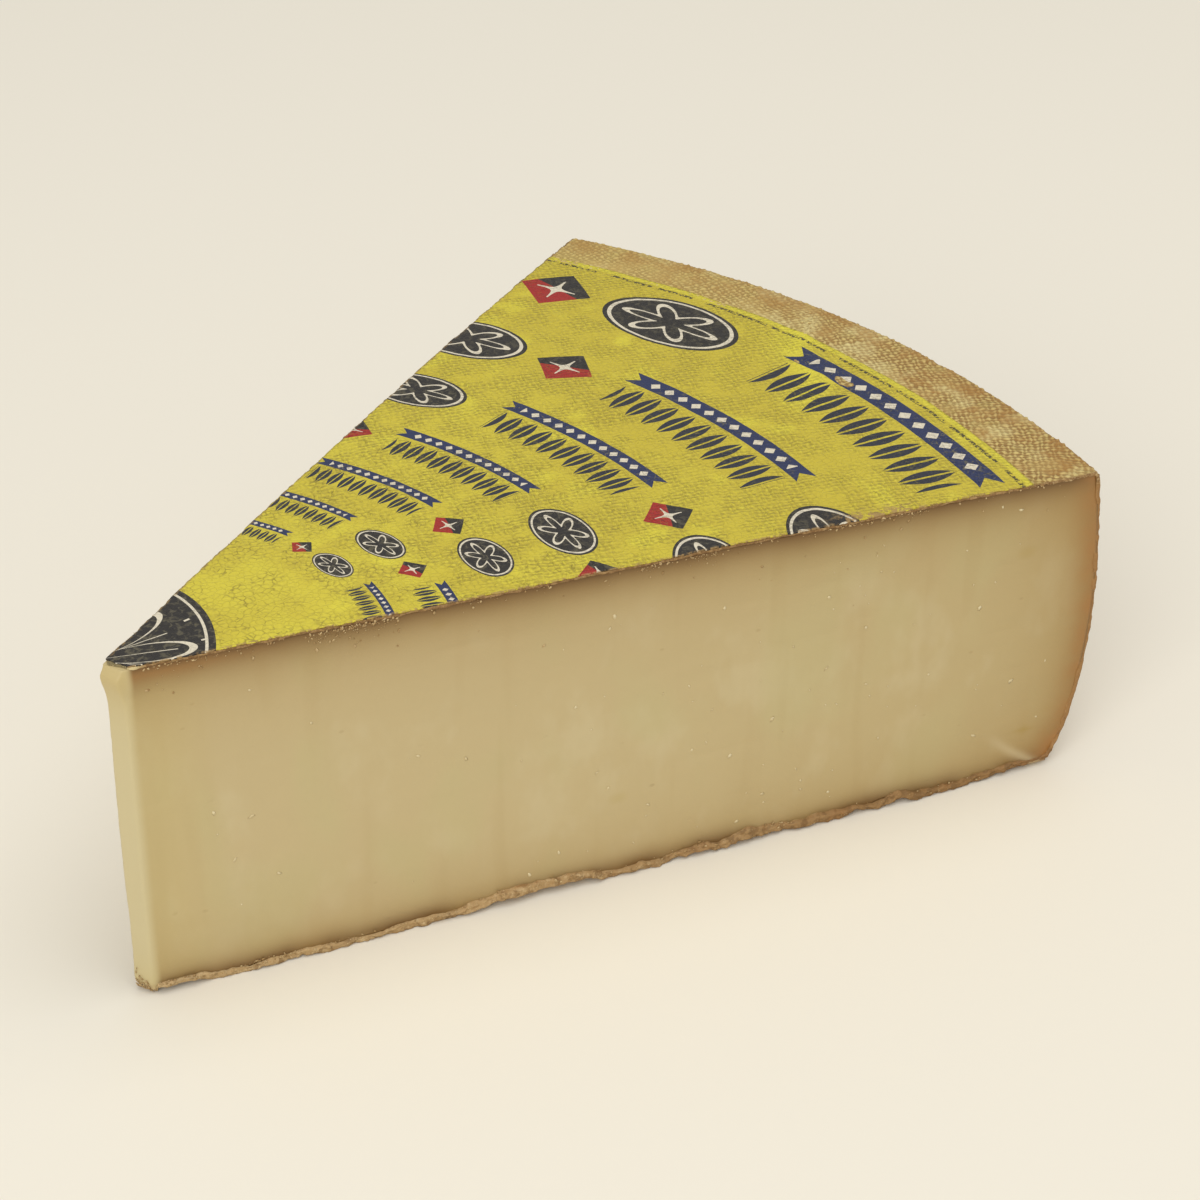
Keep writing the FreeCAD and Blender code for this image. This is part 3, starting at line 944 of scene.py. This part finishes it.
def pasteFinish():
    finish = Finish("cutPaste", 0.42, 0.35, pasteLook)
    place, (x, y, z) = finish.place()
    radius = polar(x, y)[0]
    waver = (finish.noise(place, 26.0, 2.0) - 0.5) * 3.0
    uneven = finish.noise(place, 38.0, 1.0)
    # How far a point lies below the upper rind, above the lower one and inside the heel,
    # which stands out most at its middle height and turns in below its shoulder.
    fromTop = topHeight(radius) - z + waver
    fromFoot = z - wheel["footHeight"] - 0.2 + waver
    fromMiddle = z - 58.0
    turnedIn = fromMiddle * fromMiddle * 0.0016 + greater(wheel["shoulderHeight"] - z, 0.0) * 0.28
    fromHeel = wheel["rimRadius"] + 3.2 - turnedIn - radius + waver
    onTip = x.between(11.4, 8.4)
    # The paste: cloudy, with faint upright streaks.
    clouds = finish.noise(finish.stretched(place, 1.0, 1.0, 0.6), 19.0, 3.0, 0.6)
    finish.base = finish.mix((radius / wheel["rimRadius"]).between(0.3, 1.0), "middle", "right")
    finish.lay(clouds.between(0.50, 0.72) * 0.45, "cloud")
    greens = finish.noise(finish.stretched(place, 1.0, 1.0, 0.5), 31.0, 2.0)
    finish.lay(greens.between(0.52, 0.68) * 0.5, "green")
    streak = finish.noise(finish.stretched(place, 1.0, 1.0, 0.08), 9.0, 2.0)
    finish.lay(streak.between(0.55, 0.75) * 0.10, "ripe")
    # Small pits, darkened with painted shade, and olive spots.
    pits = finish.cells(finish.stretched(place, 1.0, 1.0, 1.6), 13.0)
    finish.lay(pits.between(0.09, 0.03) * uneven.between(0.45, 0.6) * 0.35, "pit")
    spots = finish.cells(finish.stretched(place, 0.7, 0.7, 1.0), 34.0)
    spot = fading(abs(radius - 284.0) / 3.4 + abs(z - 15.0) / 1.5, 1.0, 2.0)
    finish.lay(either(spots.between(0.10, 0.02) * 0.30, spot * 0.7), "olive")
    # Riper, then dark towards the rind: the paste's own browning, and in the dark bands under the top rind
    # and above the lip also painted shade of their overhanging edges.
    soft = 1 - onTip
    finish.lay(x.between(34.0, 13.0) * 0.4, "byTip")
    ripe = either(fading(fromTop, 12.0), fading(fromHeel, 16.0))
    ripe = either(ripe, fading(fromFoot, 9.0) * (0.45 + uneven * 0.6))
    finish.lay(ripe * soft, "ripe")
    deep = either(fading(fromTop, 4.8, 1.2), fading(fromHeel, 5.0, 1.3) * 0.35)
    shade = finish.noise(finish.stretched(place, 1.0, 1.0, 0.1), 30.0, 2.0).between(0.34, 0.58)
    deep = either(deep, fading(fromFoot, 3.2, 1.4) * (0.28 + shade * 0.52))
    finish.lay(deep * soft, "deep")
    orange = fading(abs(fromTop - 3.0), 2.2, 1.4) * radius.between(60.0, 14.0) * 0.45
    rusty = finish.noise(place, 12.0, 2.0).between(0.34, 0.60)
    orange = either(orange, fading(fromHeel, 5.4, 1.6) * (0.45 + rusty * 0.5))
    finish.lay(orange * soft, "orange")
    # The tip's narrow face is painted paler, as painted light from the left, and a smear runs into the
    # lowest corner by the heel.
    finish.lay(onTip * 0.9, "tip")
    topEdge = onTip * fading(abs(fromTop - 3.0), 11.0, 1.4)
    finish.lay(topEdge * 0.8, "tipTop")
    crumbly = finish.noise(place, 1.3, 3.0, 0.7)
    crumbs = finish.mix(crumbly.between(0.45, 0.62), "crumbly", "crumblyPale")
    finish.lay(onTip * fading(z, 9.0, 1.5) * 0.5, "byTip")
    finish.lay(x.between(16.0, 12.0) * fading(z + crumbly * 2.0 - 1.6, 2.4, 2.0) * 0.9, crumbs)
    beside = radius + z * 1.25 - 290.5 + waver * 2.0
    smear = fading(abs(beside), 2.6, 2.0) * z.between(20.0, 8.0) * radius.between(262.0, 276.0)
    finish.lay(smear * 0.7, "smear")
    grain = finish.noise(place, 1.6, 3.0, 0.6)
    return finish.finished(0.36 + clouds * 0.16, grain * 0.6 - pits.between(0.09, 0.02) * 0.6, 0.10)


rindLook = {
    # bead and gap: the rind's tans, with painted highlight on the beads and painted shade between them
    "bead": (214, 190, 120),
    "gap": (140, 106, 58),
    "tan": (186, 155, 92),
    "amber": (164, 120, 62),
    "golden": (204, 180, 106),
    "pale": (218, 202, 140),
    "olive": (168, 146, 82),
    "edge": (164, 130, 84),
    "edgeDark": (130, 97, 58),
    "edgePale": (204, 178, 130),
    "edgeHeel": (161, 119, 70),
    "lip": (184, 153, 106),
    "lipFar": (148, 112, 68),
    "lipDark": (120, 90, 52),
    "lipPale": (210, 184, 138),
    "rust": (150, 106, 62),
    "heel": (158, 122, 70),
    "under": (166, 134, 86),
    "tip": (214, 194, 142),
}


def rindFinish():
    finish = Finish("clothRind", 0.62, 0.3, rindLook)
    place, (x, y, z) = finish.place()
    radius, angle = polar(x, y)
    u, v = clothPlace(radius, z, angle, lesser, greater)
    cloth = wovenRelief(u, v, sine)
    patches = finish.noise(place, 8.0, 3.0, 0.6)
    blotches = finish.noise(place, 17.0, 2.0, 0.5)
    fine = finish.noise(place, 1.1, 3.0, 0.65)
    # Skin: beads pressed by the cloth, here clear and there rubbed flat, in mottled tans. The raised beads
    # are painted paler, as painted highlight, and the gaps between them darker, as painted shade.
    clear = finish.noise(place, 13.0, 1.0).between(0.32, 0.52)
    beads = (cloth * 0.62 + 0.44 + (fine - 0.5) * 0.8).math("ADD", 0.0, clamp=True)
    finish.base = finish.mix(beads.between(0.18, 0.80), "gap", "bead")
    finish.lay(0.60 - clear * 0.45, "tan")
    finish.lay(patches.between(0.50, 0.66) * 0.55, "amber")
    finish.lay(patches.between(0.46, 0.34) * 0.35, "olive")
    finish.lay(angle.between(-0.15, 0.36) * 0.45, "golden")
    finish.lay(blotches.between(0.50, 0.64) * (0.30 + beads * 0.5), "pale")
    finish.lay(fine.between(0.56, 0.72) * 0.45, "gap")
    along, beside = creasePlace(x, y, sine)
    scar = fading(abs(beside), crease["width"], 2.0) * fine.between(0.35, 0.55)
    finish.lay(scar * abs(along).between(44.0, 30.0) * z.between(90.0, 95.0) * 0.7, "pale")
    byRim = radius.between(wheel["rimRadius"] - 16.0, wheel["rimRadius"])
    finish.lay(byRim * patches.between(0.36, 0.56) * 0.5, "amber")
    onHeel = z.between(101.0, 97.0)
    finish.lay(onHeel * (0.35 + patches * 0.5), "heel")
    finish.lay(z.between(2.4, 0.4) * 0.6, "under")
    # The torn edges: a pale crumbly line above, a thick tan lip below.
    nearGap, farGap = cutGaps(x, y, radius)
    edge = lesser(nearGap, farGap)
    crumbly = finish.noise(place, 1.5, 3.0, 0.7)
    torn = finish.mix(crumbly.between(0.42, 0.62), "edgeDark", "edge")
    byStrip = radius.between(276.0, 280.0)
    torn = finish.mix(fine.between(0.54, 0.68) * (0.25 + byStrip * 0.5), torn, "edgePale")
    torn = finish.mix(onHeel * 0.85, torn, "edgeHeel")
    outer = radius / wheel["rimRadius"]
    lip = finish.mix(outer.between(0.15, 0.95), "lip", "lipFar")
    mottle = finish.noise(place, 3.4, 3.0, 0.65).between(0.52, 0.38)
    # Dark mottles, and the lip's lower edge darkened as painted shade.
    lip = finish.mix(either(mottle * 0.7, z.between(1.8, 0.0) * 0.4), lip, "lipDark")
    lip = finish.mix(crumbly.between(0.50, 0.66) * radius.between(230.0, 110.0) * 0.55, lip, "lipPale")
    rusty = finish.noise(place, 14.0, 2.0).between(0.48, 0.66) * outer.between(0.25, 0.8)
    lip = finish.mix(either(rusty * 0.4, crumbly.between(0.42, 0.30) * 0.35), lip, "rust")
    lip = finish.mix(x.between(40.0, 14.0) * 0.3, lip, "lipPale")
    torn = finish.mix(z.between(6.0, 4.5), torn, lip)
    atEdge = edge.between(0.9, 0.1)
    finish.lay(atEdge, torn)
    finish.lay(x.between(14.5, 11.0) * z.between(60.0, 90.0), "tip")
    height = cloth * (0.25 + clear * 0.35) * (1 - atEdge) + fine * 0.8 + crumbly * 0.5
    return finish.finished(0.70 - beads * 0.14, height, 0.24)


# Two colours in blotches about a size apart.
def blotchedFinish(name, roughness, size, pale, deep):
    finish = Finish(name, roughness, 0.35, {"pale": pale, "deep": deep})
    blotches = finish.noise(finish.place()[0], size, 1.0).between(0.38, 0.62)
    put(finish.tree, finish.shader.inputs["Base Color"], finish.mix(blotches, "pale", "deep"))
    return finish.material

labelLook = {
    "yellow": (214, 199, 64),
    "warm": (198, 178, 56),
    # bright also lights the cloth's raised threads as painted highlight, and worn darkens its hollows as
    # painted shade
    "bright": (224, 212, 66),
    "worn": (166, 148, 56),
    "dark": (126, 110, 46),
    "navy": (48, 56, 90),
    "leaf": (50, 52, 62),
    "ink": (48, 45, 42),
    "inkRubbed": (98, 92, 74),
    "cream": (224, 214, 190),
    "red": (164, 46, 40),
    "edge": (166, 134, 84),
}

# The print repeats round the wheel's middle in rings that shrink inwards. In a ring all
# sizes are shares of its radius: along is round the ring and up is away from the middle.
# A set is a ribbon over a row of leaves, a medallion and a lozenge.
printing = {
    "outerRing": 250.0,
    "ringRatio": 0.82,
    "rings": 7,
    "sets": 8,
    "turnEach": 0.381,
    "ribbon": {"at": -0.20, "up": 0.062, "half": 0.182, "width": 0.033, "beads": 0.026},
    "leaves": {"up": 0.000, "half": 0.040, "step": 0.034, "fill": 0.40, "vein": 0.12},
    "medallion": {"at": 0.142, "up": 0.020, "half": 0.096, "squash": 0.62},
    "lozenge": {"at": 0.312, "up": 0.020, "half": 0.050, "tall": 0.048},
    "rosette": 38.0,
    "borderLine": 273.7,
}


# Masks for the rings: navy, leaf, ink, cream and red.
def ringPrint(radius, angle):
    outer, ratio = printing["outerRing"], printing["ringRatio"]
    number = (radius / outer).math("LOGARITHM", ratio).math("ROUND")
    share = radius / (outer * ratio**number)
    spacing = 2 * math.pi / printing["sets"]
    cell = angle / spacing + number * printing["turnEach"]
    along = (cell - cell.math("ROUND")) * spacing * cosine(number * math.pi)
    up = share - 1.0
    inside = number < printing["rings"] - 0.5
    # A swallow-tailed ribbon with a row of cream lozenges along it.
    ribbon = printing["ribbon"]
    fromMiddle, ribbonUp = abs(along - ribbon["at"]), abs(up - ribbon["up"])
    tail = ribbon["half"] - ribbon["width"] * 0.5 + ribbonUp * 1.1
    band = (fromMiddle < tail) * (ribbonUp < ribbon["width"] / 2)
    bead = along.math("PINGPONG", ribbon["beads"] / 2) / (ribbon["beads"] * 0.32)
    beads = bead + ribbonUp / (ribbon["width"] * 0.30) < 1.0
    beads = beads * band * (fromMiddle < ribbon["half"] - ribbon["width"])
    # Leaves stand in a row under it, each with a pale vein.
    leaves = printing["leaves"]
    leafUp = (up - leaves["up"]) / leaves["half"]
    leafAcross = along.math("PINGPONG", leaves["step"] / 2) / (leaves["step"] * leaves["fill"])
    leaf = ((1 - leafUp * leafUp) > leafAcross) * (leafAcross > leaves["vein"])
    leaf = leaf * (fromMiddle < ribbon["half"] - ribbon["width"] * 0.4)
    # A dark medallion with a pale ring and a six-petalled flower with a red heart.
    medallion = printing["medallion"]
    across = (along - medallion["at"]) / medallion["half"]
    away, around = polar(across, (up - medallion["up"]) / (medallion["half"] * medallion["squash"]))
    medal = away < 1.0
    rim = abs(away - 0.90) < 0.03
    petals = abs(away - (0.48 + cosine(around * 6.0) * 0.22)) < 0.06
    heart = away < 0.17
    # A lozenge, half red and half dark, with a cream star.
    lozenge = printing["lozenge"]
    sideways = (along - lozenge["at"]) / lozenge["half"]
    upwards = (up - lozenge["up"]) / lozenge["tall"]
    away = abs(sideways) + abs(upwards)
    diamond = away < 1.0
    star = (abs(sideways * upwards) < 0.012) * (away < 0.55)
    redHalf = upwards < sideways * 0.4 + 0.05
    ink = greater(medal, diamond * (1 - redHalf))
    cream = greater(greater(beads, greater(rim, petals) * medal), star)
    red = greater(diamond * redHalf * (1 - star), heart)
    return [mask * inside for mask in (band, leaf, ink, cream, red)]


# The same for the rosette in the middle: ink and cream.
def rosettePrint(radius, angle):
    size = printing["rosette"] + sine(angle * 2.0) * 5.0
    ground = radius < size
    ring = abs(radius - size + 2.4) < 0.42
    petal = abs(sine(angle * 4.5 + 0.6))
    flower = abs(radius - (9.0 + petal * 19.0)) < 0.35 + petal * 0.75
    veins = (abs(sine(angle * 9.0 + 1.2)) < 0.07) * (radius < 24.0) * (radius > 5.0)
    dots = (abs(sine(angle * 9.0 + 0.4)) < 0.10) * (abs(radius - 31.5) < 0.9)
    cream = greater(greater(ring, flower), greater(veins, dots))
    return ground, cream * ground


def labelFinish():
    finish = Finish("printedPaper", 0.5, 0.35, labelLook)
    place, (x, y, _) = finish.place()
    centreX, centreY = label["centre"].tolist()
    radius, angle = polar(x - centreX, y - centreY)
    wheelRadius = polar(x, y)[0]
    cloth = wovenRelief(x, y, sine)
    wheelShare = wheelRadius / wheel["rimRadius"]
    outer, clothShows = wheelShare.between(0.25, 0.80), wheelShare.between(0.10, 0.50)
    broad = finish.noise(place, 30.0, 3.0, 0.6)
    middling = finish.noise(place, 9.0, 2.0, 0.5)
    small = finish.noise(place, 2.1, 3.0, 0.6, 0.8)
    fine = finish.noise(place, 0.8, 2.0, 0.6)
    # Paper: yellow, duller outwards, partly as painted shade where the light falls off, with the cloth's
    # hollows darkened as painted shade, its raised threads lightened as painted highlight, and the rind's
    # leathery wrinkles near the tip.
    finish.base = finish.mix(either(broad.between(0.42, 0.66) * 0.6, outer * 0.7), "yellow", "warm")
    along, beside = creasePlace(x, y, sine)
    bright = fading(abs(beside + 3.0), 7.0, 2.0) * abs(along).between(40.0, 24.0)
    bright = either(bright * 0.9, finish.noise(place, 14.0, 1.0).between(0.56, 0.72) * 0.55)
    finish.lay(bright, "bright")
    printed = middling.between(0.30, 0.58)
    # The cloth's hollows are darkened with the worn colour as painted shade, and its raised threads
    # lightened as painted highlight.
    clothHollowShade = cloth.between(0.25, -0.70) * printed
    finish.lay(clothHollowShade * (0.08 + clothShows * 0.42), "worn")
    finish.lay(cloth.between(0.15, 0.90) * printed * clothShows * 0.30, "bright")
    cracks = finish.cells(finish.vector(x, y, 0.0), 2.0, "DISTANCE_TO_EDGE", 0.9)
    cracks = cracks.between(0.12, 0.01)
    finish.lay(cracks * printed * (1 - outer) * 0.16, "worn")
    wrinkle = cracks * small.between(0.46, 0.60) * middling.between(0.38, 0.62)
    finish.lay(wrinkle * (0.62 - outer * 0.54), "dark")
    mottled = small.between(0.54, 0.70) * middling.between(0.40, 0.60)
    finish.lay(mottled * 0.20, "worn")
    # The print, a little rubbed on the wrinkles.
    navy, leaf, ink, cream, red = ringPrint(radius, angle)
    ground, drawing = rosettePrint(radius, angle)
    ink, cream = greater(ink, ground), greater(cream, drawing)
    ticks = finish.noise(finish.vector(angle * 270.0, radius * 0.9, 0.0), 1.0, 2.0)
    words = finish.noise(finish.vector(angle * 30.0, 7.0, 0.0), 1.0, 0.0)
    fromBorder = radius - printing["borderLine"]
    border = (abs(fromBorder) < 0.65) * (ticks > 0.49) * (words > 0.38)
    finish.lay(fromBorder.between(0.6, 1.6) * 0.6, "bright")
    worn = 1 - wrinkle * 0.22
    speck = 1 - fine.between(0.68, 0.80) * 0.45
    finish.lay(navy * worn * speck, "navy")
    finish.lay(leaf * worn * speck, "leaf")
    finish.lay(red * worn, "red")
    dull = either(small.between(0.48, 0.66) * (0.85 - outer * 0.4), wrinkle * 0.5)
    dull = finish.mix(dull, "ink", "inkRubbed")
    finish.lay(greater(ink, border * 0.9) * (1 - (1 - speck) * 0.5), dull)
    finish.lay(cream * worn, "cream")
    # Along the cuts the paper is rubbed brown, and in one place scuffed through.
    nearGap, farGap = cutGaps(x, y, wheelRadius)
    rubbed = lesser(nearGap, farGap).between(1.0, 0.2) * small.between(0.40, 0.58)
    scuffed = wheelRadius.between(208.0, 222.0) * wheelRadius.between(246.0, 234.0)
    scuffed = scuffed * nearGap.between(7.5, 1.0) * small.between(0.46, 0.56)
    rubbed = either(rubbed * 0.85, scuffed * 0.9)
    finish.lay(rubbed, "edge")
    relief = cloth * (0.2 + clothShows * 0.9) * printed + small - cracks * 0.5
    return finish.finished(0.46 + small * 0.2 - ink * 0.05, relief, 0.22)


for piece, material in (
    (rindPiece, rindFinish()),
    (pastePiece, pasteFinish()),
    (labelPiece, labelFinish()),
    (crystalPiece, blotchedFinish("pasteCrystal", 0.4, 4.0, (218, 203, 162), (202, 184, 140))),
    (crumbPiece, blotchedFinish("crumb", 0.7, 1.2, (198, 172, 126), (160, 128, 82))),
):
    piece.data.materials.append(material)
print("materials made")

# The view: a long lens from above the near cut, its aim given in the wheel's millimetres.
camera = {
    "place": (-326.455, -510.426, 512.115),
    "right": (0.71152, -0.70260, 0.00988),
    "up": (0.37282, 0.38940, 0.84224),
    "lens": 84.58,
    "sensor": 36.0,
}


def makeCamera():
    data = bpy.data.cameras.new("camera")
    data.lens, data.sensor_width = camera["lens"], camera["sensor"]
    data.clip_end = 20.0
    made = bpy.data.objects.new("camera", data)
    bpy.context.scene.collection.objects.link(made)
    right, up = Vector(camera["right"]), Vector(camera["up"])
    turn = Matrix((right, up, right.cross(up))).transposed().to_4x4()
    made.matrix_world = Matrix.Translation(Vector(np.add(camera["place"], frameShift) * mm)) @ turn
    bpy.context.scene.camera = made


studio = {
    "floorColour": colour(240, 234, 219),
    "worldColour": (1.0, 0.985, 0.96, 1.0),
    "worldStrength": 0.47,
    # name, place in metres, size in metres, power in watts
    "lamps": (
        ("windowSide", (-2.4, -1.3, 2.08), 2.56, 50.0),
        ("overhead", (0.48, -0.64, 3.2), 3.2, 42.0),
    ),
}


def makeStudio():
    scene = bpy.context.scene
    scene.view_settings.view_transform = "Standard"
    world = bpy.data.worlds.new("studio")
    scene.world = world
    world.use_nodes = True
    tree = world.node_tree
    light = tree.nodes["Background"]
    light.inputs["Color"].default_value = studio["worldColour"]
    light.inputs["Strength"].default_value = studio["worldStrength"]
    seen = tree.nodes.new("ShaderNodeBackground")
    seen.inputs["Color"].default_value = studio["floorColour"]
    path = tree.nodes.new("ShaderNodeLightPath")
    choice = tree.nodes.new("ShaderNodeMixShader")
    tree.links.new(path.outputs["Is Camera Ray"], choice.inputs[0])
    tree.links.new(light.outputs[0], choice.inputs[1])
    tree.links.new(seen.outputs[0], choice.inputs[2])
    tree.links.new(choice.outputs[0], tree.nodes["World Output"].inputs["Surface"])
    for name, place, size, power in studio["lamps"]:
        data = bpy.data.lights.new(name, "AREA")
        data.shape, data.size, data.energy = "DISK", size, power
        lamp = bpy.data.objects.new(name, data)
        scene.collection.objects.link(lamp)
        lamp.location = place
        lamp.rotation_euler = (Vector((0, 0, 0.05)) - lamp.location).to_track_quat("-Z", "Y").to_euler()
    bpy.ops.mesh.primitive_plane_add(size=12.0, location=(0, 0, cadBox[0].z - 0.0002))
    floor = bpy.context.object
    floor.name = "floor"
    surface = Finish("floorPaint", 0.9, 0.1)
    surface.shader.inputs["Base Color"].default_value = studio["floorColour"]
    floor.data.materials.append(surface.material)


makeCamera()
makeStudio()
print("studio made")
